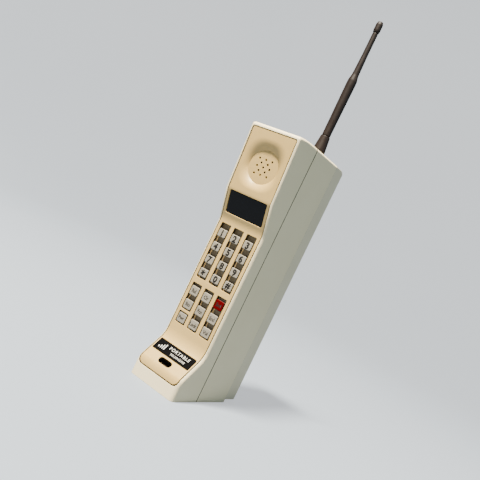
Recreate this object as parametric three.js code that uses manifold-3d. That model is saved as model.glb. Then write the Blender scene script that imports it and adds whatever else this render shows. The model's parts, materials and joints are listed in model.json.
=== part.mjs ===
// A hand-held cellular telephone of the first generation: two plastic housing shells,
// an inset front panel with 21 sprung keys, the boards and transducers inside,
// a clip-on battery pack with six cells, and a screw-in whip antenna.
// Millimetres, +Z up, front towards -Y. The origin is the centre of the box's base.
import * as THREE from 'three';
import { mergeVertices } from 'three/addons/utils/BufferGeometryUtils.js';
import Module from 'manifold-3d';

const wasm = await Module();
wasm.setup();

// ---------- driving dimensions ----------
const WIDTH = 44.5;
const DEPTH = 89;
const HEIGHT = 209;
const GAP = 0.3;
const WALL = 2;
const END_WALL = 2.5;
// The radius of the case's long edges by height: wide at the chin, tight beside the ear.
const EDGE_RADII = [[0, 3.4], [31.6, 3.4], [41.5, 3], [130, 3], [138, 1.4], [203, 1.4], [207, 2],
  [HEIGHT, 2]];
const REAR_EDGE_RADIUS = 2;
const EDGE_STEPS = 5;
const FACE_STEPS = 6;
const OVERRUN = 1;
const HALF_WIDTH = WIDTH / 2;
const INNER_HALF_WIDTH = HALF_WIDTH - WALL;
const FRONT_Y = -DEPTH / 2;
const BACK_Y = DEPTH / 2;
const SEAM_Y = -13.2;
const PACK_Y = 26.35;
const KEYPAD_Y = -28.2;

// Depths below the front face: panel skin, panel recess, housing front wall.
const SKIN = { outer: 0.3, inner: 1.6 };
const RECESS_DEPTH = 2;
const FRONT_WALL_DEPTH = 3.4;
const PANEL = {
  halfWidth: 19.8, low: 10.6, high: 204.4, lowCorner: 4.5, highCorner: 1.6, groove: 0.7, topGroove: 0.35,
  reach: 10,
};

// Places on the front face: y and z of a point, and how far the face leans forward.
const CHIN = { y: -34.55, z: 27.4, tilt: -38.6 };
const MOUTH = { y: -40.53, z: 19.9, tilt: -38.6 };
const DISPLAY = { y: -33.06, z: 146.09, tilt: 20.2 };
const EAR = { y: -38.71, z: 178, tilt: 5.7 };

const KEY = {
  pitchX: 12.59, wellHalf: 4.6, floorY: -25.2, blockBackY: -24.2, top: KEYPAD_Y, under: -26.5,
  stem: 3.2, stemEnd: -23.3, stemLap: 0.2, hole: 4, bevel: 0.35, corner: 0.7,
};
const NUMBER_KEYS = {
  rows: [122, 111, 100, 89], size: [7.7, 6.4],
  names: ['key_1', 'key_2', 'key_3', 'key_4', 'key_5', 'key_6',
    'key_7', 'key_8', 'key_9', 'key_star', 'key_0', 'key_hash'],
};
const FUNCTION_KEYS = {
  rows: [73.6, 62.4, 51.2], size: [7.8, 7.3],
  names: ['key_recall', 'key_clear', 'key_send', 'key_store', 'key_function', 'key_end',
    'key_power', 'key_lock', 'key_volume'],
};
// Each well is a column and its lowest and highest z.
const WELLS = [
  [-1, 84.2, 129.7], [0, 84.2, 129.7], [1, 84.2, 129.7],
  [-1, 57.9, 79.6], [-1, 46.7, 55.7], [0, 46.7, 79.6], [1, 46.7, 79.6],
];
const WELL = { corner: 0.6, reach: 3 };
const KEYPAD_BLOCK = { halfWidth: 18.2, low: 44, high: 132, frontY: -27.4 };

const LENS = { width: 34.5, height: 17.35, outer: 0.6, inner: 1.7, corner: 0.6, openCorner: 0.8, reach: 3 };
const NAMEPLATE = {
  width: 37.2, height: 9.85, outer: 0.1, inner: 0.5, recess: 0.8, corner: 0.4, openCorner: 0.6, reach: 3,
};
const MOUTH_SLOT = { width: 12.6, height: 5, past: 1.2 };
const DISH = {
  rim: [17.6, 19.2], rimShift: 1.2, rimSquareness: 3, floorRadius: 12.8, floor: 3.3, back: 4.7, wall: 1.4,
  wallTaper: 0.85, proud: 0.6, lap: 0.4,
};
const EAR_HOLES = { radius: 0.8, pitch: 2.92, rows: [3, 2, 3, 2, 3], steps: 8 };

const SCREWS = {
  x: 15.6, z: [8, 198.5], rearBoss: 4.2, frontBoss: 3.4, bore: 1.9, headBore: 3.1,
  headSeatY: 24, shank: 1.5, head: 2.8, headY: [24.3, 26.1], chamfer: 0.5, endY: -17,
};
const ANTENNA = { x: 10.5, y: 8.3, studRadius: 1.9, socketBore: 2.2, socketRadius: 3.7, flange: 5.2 };
const PACK = {
  halfWidth: 21.5, low: 2.4, high: 208.5, sideRadius: 5, topRadius: 9, wall: 1.6, sideWall: 1.8,
  lidThickness: 1.5, frontY: PACK_Y + GAP / 2, sideSteps: 8, topSteps: 10,
};
const CELL = {
  count: 6, pitchX: 15, pitchZ: 50.6, low: 8, y: 35.6,
  profile: [[0, 0], [6.65, 0], [7.15, 0.5], [7.15, 48], [6.55, 48.6], [2.6, 48.6], [2.6, 50], [0, 50]],
};
const CONTACT = { x: 8, z: 20, width: 4, height: 6, backY: 19 };
// The latch is a pad in a window, a wider flange behind it and a bar through to the housing.
const LATCH = {
  pad: [13, 11], padZ: 190.1, padY: [42, 44.3], travel: 3, flange: [8.2, 9], flangeY: [41.3, 42.6],
  bar: [6, 3], barZ: 191.5, barY: [24.5, 41.9], windowDepth: 3,
};
// How deep the rear wall and the pack's lid are cut for the latch and the contacts.
const REAR_CUT = 4;

// Openings in the housing behind the panel, and how far a cutter reaches below and above the face.
const HOUSING_OPENINGS = { keypadGap: 0.4, display: [31.5, 14.4, 1], ear: [19.3, 20.9], depth: 6, proud: 1 };
const FRONT_BOSS_START = { low: FRONT_Y + 2.5, high: -38.5 };
const SOCKET_WALL = 5;

// Pieces behind the panel. Boards: name, half width, z from and to, y from and to.
const MODULE = { size: [32, 15], corner: 0.6, outer: 3.8, inner: 8.3 };
const MAT = { halfWidth: 18, low: 45, high: 131, frontY: -23.9, backY: -22.4 };
const BOARDS = [
  ['keypad_board', 18.2, [45, 131], [-22.1, -20.5]],
  ['logic_board', 18.6, [14, 192], [-18, -16.4]],
  ['radio_board', 18.6, [14, 192], [-9, -7.4]],
];
const SHIELD = { halfWidth: 17.5, frontY: -7.1, backY: 5, low: 60, high: 186, sheet: 0.6 };
const DUPLEXER = { halfWidth: 15, frontY: -7.1, backY: 9, low: 16, high: 56 };
// Turned pieces as pairs of radius and height along their own axis.
const MICROPHONE = {
  rise: 1.2, capsule: [[0, -9.6], [4, -9.6], [4.4, -9.2], [4.4, -5], [0, -5]], boot: [4.7, 5.8, -10.5, -4.2],
};
const EARPIECE = {
  gasket: [9, 12, -6, -5],
  receiver: [[0, -14.3], [8, -14.3], [8, -11], [12, -11], [12, -6.3], [0, -6.3]],
};
const RINGER = { z: 120, shell: [[0, 9], [10, 9], [10, 12], [3, 13], [0, 13]] };
const ANTENNA_SOCKET = { low: -6, shoulder: -2.8 };
const ANTENNA_SEAL = { outer: 5.3, top: 1.9 };
const ANTENNA_BASE = { studEnd: -5, low: 2.2, cone: [[5.05, 2.2], [5, 4], [3.75, 15.4], [0, 15.4]] };
const ANTENNA_WHIP = [[0, 15.7], [3.35, 15.7], [3.4, 29], [3.55, 42], [3.7, 59], [3.65, 63], [2.7, 68],
  [2.25, 84], [2.15, 103.8], [0, 103.8]];
const ANTENNA_TIP = [[0, 104.1], [2.4, 104.1], [2.75, 106], [2.75, 111], [2, 113.3], [0, 114]];
const ROUND_STEPS = 24;
const SMALL_STEPS = 12;

// ---------- solids and meshes ----------
const COLOURS = {
  housing: [0xf3ead2, 0.45, 0], panel: [0xe4d3b5, 0.42, 0], key: [0xc2bcb0, 0.5, 0],
  redKey: [0x7d0a12, 0.4, 0], lens: [0x1d1a1c, 0.12, 0], plate: [0x1b1a1a, 0.35, 0],
  rubber: [0x2a2726, 0.85, 0], board: [0x2f5a3a, 0.6, 0], tin: [0xb9bcc0, 0.35, 1],
  module: [0x3a2323, 0.5, 0], ceramic: [0xb59a6a, 0.4, 0.6], contact: [0xc9a24a, 0.3, 1],
  steel: [0xaeb0b2, 0.3, 1], cell: [0x3f6f52, 0.5, 0], antenna: [0x3b3430, 0.55, 0],
  capsule: [0x4a4d50, 0.4, 0.8],
};

function toSolid(piece) {
  if (piece instanceof wasm.Manifold) return piece;
  const bare = piece.clone();
  bare.deleteAttribute('normal');
  bare.deleteAttribute('uv');
  const merged = mergeVertices(bare, 1e-4);
  return new wasm.Manifold(new wasm.Mesh({
    numProp: 3,
    vertProperties: new Float32Array(merged.attributes.position.array),
    triVerts: new Uint32Array(merged.index.array),
  }));
}

function toGeometry(solid) {
  const mesh = solid.getMesh();
  const geometry = new THREE.BufferGeometry();
  geometry.setAttribute('position', new THREE.BufferAttribute(mesh.vertProperties, 3));
  geometry.setIndex(new THREE.BufferAttribute(mesh.triVerts, 1));
  geometry.computeVertexNormals();
  return geometry;
}

// Join some pieces onto a base and cut others out of it. The result is a solid, not a geometry.
function carve(base, joins, cuts) {
  let solid = toSolid(base);
  for (const piece of joins) solid = solid.add(toSolid(piece));
  for (const piece of cuts) solid = solid.subtract(toSolid(piece));
  return solid;
}

function overlapOf(first, second) {
  return toSolid(first).intersect(toSolid(second));
}

const phone = new THREE.Group();

function addPart(name, shape, colour, parent = phone) {
  const [color, roughness, metalness] = COLOURS[colour];
  const geometry = shape.isBufferGeometry ? shape : toGeometry(shape);
  const mesh = new THREE.Mesh(geometry, new THREE.MeshStandardMaterial({ color, roughness, metalness }));
  mesh.name = name;
  parent.add(mesh);
  return mesh;
}

// ---------- outlines and basic bodies ----------
function boxBetween(low, high) {
  const size = high.map((value, axis) => value - low[axis]);
  const geometry = new THREE.BoxGeometry(...size);
  return geometry.translate(...low.map((value, axis) => value + size[axis] / 2));
}

function roundedRect(width, height, radius, x = 0, y = 0, highRadius = radius) {
  const [left, right] = [x - width / 2, x + width / 2];
  const [low, high] = [y - height / 2, y + height / 2];
  const shape = new THREE.Shape();
  shape.moveTo(left + radius, low);
  shape.lineTo(right - radius, low);
  shape.quadraticCurveTo(right, low, right, low + radius);
  shape.lineTo(right, high - highRadius);
  shape.quadraticCurveTo(right, high, right - highRadius, high);
  shape.lineTo(left + highRadius, high);
  shape.quadraticCurveTo(left, high, left, high - highRadius);
  shape.lineTo(left, low + radius);
  shape.quadraticCurveTo(left, low, left + radius, low);
  return shape;
}

function slab(shape, from, to, curveSegments = 3) {
  const geometry = new THREE.ExtrudeGeometry(shape, { depth: to - from, bevelEnabled: false, curveSegments });
  return geometry.translate(0, 0, from);
}

// Turn a body drawn in X and Z, thick along its own third axis, to stand along Y.
function facingFront(geometry) {
  return geometry.rotateX(Math.PI / 2);
}

// Draw (y, z) outlines and run them along X.
function alongX(points, from, to) {
  const basis = new THREE.Matrix4().makeBasis(
    new THREE.Vector3(0, 1, 0), new THREE.Vector3(0, 0, 1), new THREE.Vector3(1, 0, 0));
  return slab(new THREE.Shape(points), from, to).applyMatrix4(basis);
}

function turned(profile, segments = 16) {
  const points = profile.map(([radius, height]) => new THREE.Vector2(radius, height));
  return new THREE.LatheGeometry(points, segments).rotateX(Math.PI / 2);
}

function disc(radius, from, to, segments = 16) {
  return turned([[0, from], [radius, from], [radius, to], [0, to]], segments);
}

function ring(inner, outer, from, to, segments = 16) {
  return turned([[inner, from], [outer, from], [outer, to], [inner, to], [inner, from]], segments);
}

// Stand a turned body along +Y at (x, z).
function alongY(geometry, x, z) {
  return geometry.rotateX(-Math.PI / 2).translate(x, 0, z);
}

// Lay a body on the leaning front face: its +Z then points out of the face.
function onFace(geometry, place) {
  const angle = Math.PI / 2 + THREE.MathUtils.degToRad(place.tilt);
  return geometry.rotateX(angle).translate(0, place.y, place.z);
}

function faceGroup(place) {
  const group = new THREE.Group();
  group.position.set(0, place.y, place.z);
  group.rotation.x = Math.PI / 2 + THREE.MathUtils.degToRad(place.tilt);
  phone.add(group);
  return group;
}

// A closed body through rings of equal point count, capped at both ends.
function loft(givenRings) {
  const flat = (points) => points.map((point) => new THREE.Vector2(point.u, point.v));
  const clockwise = THREE.ShapeUtils.isClockWise(flat(givenRings[0]));
  const rings = clockwise ? givenRings.map((points) => [...points].reverse()) : givenRings;
  const count = rings[0].length;
  const positions = rings.flat().flatMap((point) => [point.x, point.y, point.z]);
  const index = [];
  for (let level = 0; level < rings.length - 1; level += 1) {
    for (let step = 0; step < count; step += 1) {
      const a = level * count + step;
      const b = level * count + ((step + 1) % count);
      index.push(a, b, b + count, a, b + count, a + count);
    }
  }
  const last = (rings.length - 1) * count;
  for (const [a, b, c] of THREE.ShapeUtils.triangulateShape(flat(rings[0]), [])) index.push(c, b, a);
  for (const [a, b, c] of THREE.ShapeUtils.triangulateShape(flat(rings.at(-1)), [])) {
    index.push(last + a, last + b, last + c);
  }
  const geometry = new THREE.BufferGeometry();
  geometry.setAttribute('position', new THREE.Float32BufferAttribute(positions, 3));
  geometry.setIndex(index);
  return geometry;
}

// ---------- the front face in side view ----------
// From the base up the chin, the keypad, the display and the ear section, then over the top.
function frontCurve() {
  const path = new THREE.Path();
  path.moveTo(FRONT_Y, 0);
  path.lineTo(FRONT_Y, 10);
  path.quadraticCurveTo(FRONT_Y, 14.9, -42.6, 17.3);
  path.lineTo(-31.2, 31.6);
  path.quadraticCurveTo(KEYPAD_Y, 35.4, KEYPAD_Y, 41.5);
  path.lineTo(KEYPAD_Y, 130.2);
  path.quadraticCurveTo(KEYPAD_Y, 132.9, -29.13, 135.43);
  path.lineTo(-36.45, 155.3);
  path.lineTo(-41.4, 205);
  path.quadraticCurveTo(-41.6, 207.1, -39.4, 207.6);
  path.quadraticCurveTo(-31, HEIGHT, -21.5, HEIGHT);
  path.lineTo(SEAM_Y - GAP / 2, HEIGHT);
  return path.getPoints(FACE_STEPS);
}
const FRONT_POINTS = frontCurve();
const LEAST_MITRE = 0.7;
const FOLD_SLACK = 0.02;

// The same line moved inwards, by a depth that may change with height.
function frontLine(depthAt) {
  return FRONT_POINTS.map((point, place) => {
    const before = FRONT_POINTS[Math.max(place - 1, 0)];
    const after = FRONT_POINTS[Math.min(place + 1, FRONT_POINTS.length - 1)];
    const into = point.clone().sub(before).normalize();
    const out = after.clone().sub(point).normalize();
    if (place === 0) into.copy(out);
    if (place === FRONT_POINTS.length - 1) out.copy(into);
    const inward = new THREE.Vector2(into.y + out.y, -into.x - out.x).normalize();
    const stretch = 1 / Math.max(inward.dot(new THREE.Vector2(out.y, -out.x)), LEAST_MITRE);
    return point.clone().addScaledVector(inward, depthAt(point.y) * stretch);
  });
}

// The long edge's radius at a height.
function edgeRadius(z) {
  const next = Math.max(EDGE_RADII.findIndex(([level]) => level >= z), 1);
  const [[low, from], [high, to]] = [EDGE_RADII[next - 1], EDGE_RADII[next]];
  return THREE.MathUtils.mapLinear(z, low, high, from, to);
}

function distanceToFront(point) {
  const nearest = new THREE.Vector3();
  const target = new THREE.Vector3(point.x, point.y, 0);
  const lengths = FRONT_POINTS.slice(1).map((end, place) => {
    const start = FRONT_POINTS[place];
    const edge = new THREE.Line3(new THREE.Vector3(start.x, start.y, 0), new THREE.Vector3(end.x, end.y, 0));
    return edge.closestPointToPoint(target, true, nearest).distanceTo(target);
  });
  return Math.min(...lengths);
}

// The moved line without the points that fold back at tight bends.
function insetLine(depth) {
  return frontLine(() => depth).filter((point) => distanceToFront(point) > Math.abs(depth) - FOLD_SLACK);
}

function band(outer, inner, halfWidth) {
  return alongX([...insetLine(outer), ...insetLine(inner).reverse()], -halfWidth, halfWidth);
}

// A case body whose outline draws in towards both sides, so that its long edges are round.
// The outline function takes the share of the edge radius by which it draws in.
function roundSided(outlineAt, radiusAt) {
  const angles = Array.from({ length: EDGE_STEPS + 1 }, (_, step) => (step / EDGE_STEPS) * (Math.PI / 2));
  const section = (angle, side) => {
    const original = outlineAt(0);
    return outlineAt(1 - Math.cos(angle)).map((point, place) => {
      const draw = radiusAt(original[place].y) * (1 - Math.sin(angle));
      return { x: side * (HALF_WIDTH - draw), y: point.x, z: point.y, u: point.x, v: point.y };
    });
  };
  const left = angles.map((angle) => section(angle, -1)).reverse();
  const right = angles.map((angle) => section(angle, 1));
  return loft([...left, ...right]);
}

function frontOutline(share) {
  const points = frontLine((z) => share * edgeRadius(z));
  points[0].y = 0;
  points.at(-1).x = SEAM_Y - GAP / 2;
  return [...points, new THREE.Vector2(SEAM_Y - GAP / 2, 0)];
}

function rearOutline(share) {
  const top = HEIGHT - share * REAR_EDGE_RADIUS;
  const [front, back] = [SEAM_Y + GAP / 2, PACK_Y - GAP / 2];
  return [[front, 0], [front, top], [back, top], [back, 0]].map((pair) => new THREE.Vector2(...pair));
}

// ---------- cutters shared by the housing and the panel ----------
function panelWindow(grow, growTop = grow) {
  const [low, high] = [PANEL.low - grow, PANEL.high + growTop];
  const shape = roundedRect(2 * (PANEL.halfWidth + grow), high - low, PANEL.lowCorner,
    0, (high + low) / 2, PANEL.highCorner);
  return facingFront(slab(shape, -KEYPAD_Y - PANEL.reach, -FRONT_Y + PANEL.reach, 4));
}

function mouthSlot() {
  const shape = roundedRect(MOUTH_SLOT.width, MOUTH_SLOT.height, MOUTH_SLOT.height / 2);
  return onFace(slab(shape, -FRONT_WALL_DEPTH - MOUTH_SLOT.past, OVERRUN), MOUTH);
}

function ovalRing(halfX, halfY, height, squareness, shiftY = 0, count = ROUND_STEPS) {
  return Array.from({ length: count }, (_, step) => {
    const angle = (2 * Math.PI * step) / count;
    const power = 2 / squareness;
    const u = halfX * Math.sign(Math.cos(angle)) * Math.abs(Math.cos(angle)) ** power;
    const v = shiftY + halfY * Math.sign(Math.sin(angle)) * Math.abs(Math.sin(angle)) ** power;
    return { x: u, y: v, z: height, u, v };
  });
}

// A flared hollow or plug on the ear section: round at the bottom, squarer at the rim.
function earBowl(grow, bottom, top) {
  const [halfX, halfY] = DISH.rim;
  return onFace(loft([
    ovalRing(DISH.floorRadius + grow, DISH.floorRadius + grow, bottom, 2),
    ovalRing(halfX + grow * DISH.wallTaper, halfY + grow * DISH.wallTaper, top, DISH.rimSquareness,
      DISH.rimShift),
  ]), EAR);
}

function keyCentres() {
  const centres = [];
  for (const set of [NUMBER_KEYS, FUNCTION_KEYS]) {
    set.names.forEach((name, place) => centres.push({
      name, size: set.size, x: ((place % 3) - 1) * KEY.pitchX, z: set.rows[Math.floor(place / 3)],
    }));
  }
  return centres;
}

// ---------- housing ----------
function makeFrontHousing() {
  const inner = insetLine(FRONT_WALL_DEPTH);
  inner[0].y = END_WALL;
  inner.at(-1).x = SEAM_Y + OVERRUN;
  inner.push(new THREE.Vector2(SEAM_Y + OVERRUN, END_WALL));
  const cavity = alongX(inner, -INNER_HALF_WIDTH, INNER_HALF_WIDTH);
  const recess = overlapOf(band(-RECESS_DEPTH, RECESS_DEPTH, HALF_WIDTH),
    panelWindow(PANEL.groove, PANEL.topGroove));
  const { keypadGap, display, ear, depth, proud } = HOUSING_OPENINGS;
  const keypadHole = boxBetween([-KEYPAD_BLOCK.halfWidth - keypadGap, FRONT_Y, KEYPAD_BLOCK.low - keypadGap],
    [KEYPAD_BLOCK.halfWidth + keypadGap, SEAM_Y, KEYPAD_BLOCK.high + keypadGap]);
  const displayHole = onFace(slab(roundedRect(...display), -depth, proud), DISPLAY);
  const earHole = onFace(loft([-depth, proud].map((height) =>
    ovalRing(...ear, height, DISH.rimSquareness, DISH.rimShift))), EAR);
  const bosses = [];
  const bores = [];
  for (const side of [-1, 1]) {
    SCREWS.z.forEach((z, end) => {
      const start = end ? FRONT_BOSS_START.high : FRONT_BOSS_START.low;
      bosses.push(alongY(disc(SCREWS.frontBoss, start, SEAM_Y - GAP / 2), side * SCREWS.x, z));
      const bore = disc(SCREWS.bore, SCREWS.endY - OVERRUN, SEAM_Y + OVERRUN, SMALL_STEPS);
      bores.push(alongY(bore, side * SCREWS.x, z));
    });
  }
  const shell = carve(roundSided(frontOutline, edgeRadius), [], [cavity]);
  return carve(shell, bosses, [recess, keypadHole, displayHole, earHole, mouthSlot(), ...bores]);
}

function makeRearHousing() {
  const cavity = boxBetween([-INNER_HALF_WIDTH, SEAM_Y - OVERRUN, END_WALL],
    [INNER_HALF_WIDTH, PACK_Y - GAP / 2 - WALL, HEIGHT - END_WALL]);
  const bosses = [];
  const cuts = [disc(ANTENNA.socketRadius + GAP, HEIGHT - SOCKET_WALL, HEIGHT + OVERRUN)
    .translate(ANTENNA.x, ANTENNA.y, 0)];
  for (const side of [-1, 1]) {
    for (const z of SCREWS.z) {
      const x = side * SCREWS.x;
      bosses.push(alongY(disc(SCREWS.rearBoss, SEAM_Y + GAP / 2, PACK_Y - OVERRUN), x, z));
      cuts.push(alongY(disc(SCREWS.bore, SEAM_Y - OVERRUN, PACK_Y, SMALL_STEPS), x, z));
      cuts.push(alongY(disc(SCREWS.headBore, SCREWS.headSeatY, PACK_Y + OVERRUN), x, z));
    }
    cuts.push(contactBox(side, GAP, PACK_Y - REAR_CUT, PACK_Y + OVERRUN));
  }
  cuts.push(latchSlot(PACK_Y - REAR_CUT, PACK_Y + OVERRUN));
  const shell = carve(roundSided(rearOutline, () => REAR_EDGE_RADIUS), [], [cavity]);
  return carve(shell, bosses, cuts);
}

function makeScrew() {
  const { head, shank, headY: [seat, top], endY, chamfer } = SCREWS;
  return turned([[0, endY], [shank, endY], [shank, seat], [head, seat], [head, top - chamfer],
    [head - chamfer, top], [0, top]], SMALL_STEPS).rotateX(-Math.PI / 2);
}

// ---------- front panel ----------
function makeFrontPanel() {
  const skin = overlapOf(band(SKIN.outer, SKIN.inner, HALF_WIDTH), panelWindow(0));
  const { halfWidth, low, high, frontY } = KEYPAD_BLOCK;
  const block = boxBetween([-halfWidth, frontY, low], [halfWidth, KEY.blockBackY, high]);
  const cup = earBowl(DISH.wall, -DISH.back, DISH.lap - SKIN.inner);
  const cuts = [mouthSlot(), earBowl(0, -DISH.floor, DISH.proud)];
  cuts.push(onFace(slab(roundedRect(LENS.width + 2 * GAP, LENS.height + 2 * GAP, LENS.openCorner),
    -LENS.reach, LENS.reach), DISPLAY));
  cuts.push(onFace(slab(roundedRect(NAMEPLATE.width + 2 * GAP, NAMEPLATE.height + 2 * GAP,
    NAMEPLATE.openCorner), -NAMEPLATE.recess, NAMEPLATE.reach), CHIN));
  for (const [column, wellLow, wellHigh] of WELLS) {
    const shape = roundedRect(2 * KEY.wellHalf, wellHigh - wellLow, WELL.corner, column * KEY.pitchX,
      (wellLow + wellHigh) / 2);
    cuts.push(facingFront(slab(shape, -KEY.floorY, -KEYPAD_Y + WELL.reach, 1)));
  }
  cuts.push(...keyStemHoles(KEY.floorY - OVERRUN, KEY.blockBackY + OVERRUN));
  EAR_HOLES.rows.forEach((count, row) => {
    for (let place = 0; place < count; place += 1) {
      const x = (place - (count - 1) / 2) * 2 * EAR_HOLES.pitch;
      const y = (row - 2) * EAR_HOLES.pitch;
      const hole = disc(EAR_HOLES.radius, -DISH.back - OVERRUN, OVERRUN, EAR_HOLES.steps);
      cuts.push(onFace(hole.translate(x, y, 0), EAR));
    }
  });
  return carve(skin, [block, cup], cuts);
}

// ---------- keys ----------
function makeKey([width, height]) {
  const shape = roundedRect(width - 2 * KEY.bevel, height - 2 * KEY.bevel, KEY.corner);
  const cap = new THREE.ExtrudeGeometry(shape, {
    depth: KEY.under - KEY.top - 2 * KEY.bevel, bevelThickness: KEY.bevel, bevelSize: KEY.bevel,
    bevelSegments: 1, curveSegments: 1,
  }).translate(0, 0, KEY.bevel - KEY.under);
  const half = KEY.stem / 2;
  const stem = boxBetween([-half, KEY.under - KEY.stemLap, -half], [half, KEY.stemEnd, half]);
  return carve(facingFront(cap), [stem], []);
}

function addKeys() {
  for (const { name, size, x, z } of keyCentres()) {
    const colour = name === 'key_send' ? 'redKey' : 'key';
    addPart(name, makeKey(size), colour).position.set(x, 0, z);
  }
}

// ---------- pieces behind the panel ----------
function keyStemHoles(from, to) {
  const half = KEY.hole / 2;
  return keyCentres().map(({ x, z }) => boxBetween([x - half, from, z - half], [x + half, to, z + half]));
}

function makeKeypadMat() {
  const { halfWidth, low, high, frontY, backY } = MAT;
  return carve(boxBetween([-halfWidth, frontY, low], [halfWidth, backY, high]), [],
    keyStemHoles(frontY - OVERRUN, backY + OVERRUN));
}

function addFacePieces() {
  const display = faceGroup(DISPLAY);
  addPart('display_lens', slab(roundedRect(LENS.width, LENS.height, LENS.corner), -LENS.inner, -LENS.outer),
    'lens', display);
  addPart('display_module', slab(roundedRect(...MODULE.size, MODULE.corner), -MODULE.inner, -MODULE.outer),
    'module', display);
  const chin = faceGroup(CHIN);
  addPart('nameplate', slab(roundedRect(NAMEPLATE.width, NAMEPLATE.height, NAMEPLATE.corner),
    -NAMEPLATE.inner, -NAMEPLATE.outer), 'plate', chin);
  const mouth = faceGroup(MOUTH);
  addPart('microphone_boot', ring(...MICROPHONE.boot), 'rubber', mouth).position.y = MICROPHONE.rise;
  addPart('microphone', turned(MICROPHONE.capsule), 'capsule', mouth).position.y = MICROPHONE.rise;
  const ear = faceGroup(EAR);
  addPart('earpiece_gasket', ring(...EARPIECE.gasket), 'rubber', ear);
  addPart('earpiece_receiver', turned(EARPIECE.receiver, ROUND_STEPS), 'capsule', ear);
}

function addBoards() {
  addPart('keypad_mat', makeKeypadMat(), 'rubber');
  for (const [name, halfWidth, [low, high], [front, back]] of BOARDS) {
    addPart(name, boxBetween([-halfWidth, front, low], [halfWidth, back, high]), 'board');
  }
  const { halfWidth, frontY, backY, low, high, sheet } = SHIELD;
  const can = boxBetween([-halfWidth, frontY, low], [halfWidth, backY, high]);
  const hollow = boxBetween([sheet - halfWidth, frontY - OVERRUN, low + sheet],
    [halfWidth - sheet, backY - sheet, high - sheet]);
  addPart('rf_shield', carve(can, [], [hollow]), 'tin');
  addPart('duplexer', boxBetween([-DUPLEXER.halfWidth, DUPLEXER.frontY, DUPLEXER.low],
    [DUPLEXER.halfWidth, DUPLEXER.backY, DUPLEXER.high]), 'ceramic');
  addPart('ringer', alongY(turned(RINGER.shell), 0, RINGER.z), 'capsule');
}

// ---------- battery pack ----------
function packOutline(inset) {
  const shape = new THREE.Shape();
  const [low, high, back] = [PACK.low + inset, PACK.high - inset, BACK_Y - inset];
  const radius = PACK.topRadius - inset;
  const front = PACK.frontY - (inset ? OVERRUN : 0);
  shape.moveTo(front, low);
  shape.lineTo(back, low);
  shape.lineTo(back, high - radius);
  shape.absarc(back - radius, high - radius, radius, 0, Math.PI / 2);
  shape.lineTo(front, high);
  return shape.getPoints(PACK.topSteps);
}

function packPlan() {
  const { halfWidth, sideRadius, frontY } = PACK;
  const shape = new THREE.Shape();
  shape.moveTo(-halfWidth, frontY - OVERRUN);
  shape.lineTo(halfWidth, frontY - OVERRUN);
  shape.absarc(halfWidth - sideRadius, BACK_Y - sideRadius, sideRadius, 0, Math.PI / 2);
  shape.absarc(-halfWidth + sideRadius, BACK_Y - sideRadius, sideRadius, Math.PI / 2, Math.PI);
  return shape;
}

function makePackCase() {
  const solid = overlapOf(alongX(packOutline(0), -HALF_WIDTH, HALF_WIDTH),
    slab(packPlan(), 0, HEIGHT, PACK.sideSteps));
  const innerHalf = PACK.halfWidth - PACK.sideWall;
  const cavity = alongX(packOutline(PACK.wall), -innerHalf, innerHalf);
  const [padWidth, padHeight] = LATCH.pad;
  const windowLow = LATCH.padZ - padHeight / 2 - LATCH.travel - GAP;
  const windowHigh = LATCH.padZ + padHeight / 2 + GAP;
  const window = boxBetween([-padWidth / 2 - GAP, BACK_Y - LATCH.windowDepth, windowLow],
    [padWidth / 2 + GAP, BACK_Y + OVERRUN, windowHigh]);
  return carve(solid, [], [cavity, window]);
}

function contactBox(side, grow, from, to) {
  const [halfX, halfZ] = [CONTACT.width / 2 + grow, CONTACT.height / 2 + grow];
  const x = side * CONTACT.x;
  return boxBetween([x - halfX, from, CONTACT.z - halfZ], [x + halfX, to, CONTACT.z + halfZ]);
}

function latchSlot(from, to) {
  const [width, height] = LATCH.bar;
  return boxBetween([-width / 2 - GAP, from, LATCH.barZ - height / 2 - LATCH.travel - GAP],
    [width / 2 + GAP, to, LATCH.barZ + height / 2 + GAP]);
}

function makePackLid() {
  const innerHalf = PACK.halfWidth - PACK.sideWall - GAP;
  const plate = boxBetween([-innerHalf, PACK.frontY, PACK.low + PACK.wall + GAP],
    [innerHalf, PACK.frontY + PACK.lidThickness, PACK.high - PACK.wall - GAP]);
  const [from, to] = [PACK_Y - OVERRUN, PACK.frontY + REAR_CUT];
  return carve(plate, [], [contactBox(-1, GAP, from, to), contactBox(1, GAP, from, to),
    latchSlot(from, to)]);
}

function makeLatch() {
  const block = (halfX, halfZ, z, [front, back]) => boxBetween([-halfX, front, z - halfZ],
    [halfX, back, z + halfZ]);
  const pad = block(LATCH.pad[0] / 2, LATCH.pad[1] / 2, LATCH.padZ, LATCH.padY);
  const flange = block(...LATCH.flange, LATCH.padZ, LATCH.flangeY);
  const bar = block(LATCH.bar[0] / 2, LATCH.bar[1] / 2, LATCH.barZ, LATCH.barY);
  return carve(flange, [pad, bar], []);
}

function addPack() {
  addPart('battery_case', makePackCase(), 'housing');
  addPart('battery_lid', makePackLid(), 'housing');
  for (let place = 0; place < CELL.count; place += 1) {
    const x = ((place % 2) - 0.5) * CELL.pitchX;
    const z = CELL.low + Math.floor(place / 2) * CELL.pitchZ;
    const cell = turned(CELL.profile, SMALL_STEPS);
    addPart(`battery_cell_${place + 1}`, cell, 'cell').position.set(x, CELL.y, z);
  }
  [-1, 1].forEach((side, place) => {
    addPart(`battery_terminal_${place + 1}`,
      contactBox(side, 0, PACK.frontY, PACK.frontY + PACK.lidThickness), 'contact');
    addPart(`battery_contact_${place + 1}`, contactBox(side, 0, CONTACT.backY, PACK_Y - GAP / 2), 'contact');
  });
  addPart('battery_latch', makeLatch(), 'housing');
}

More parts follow.
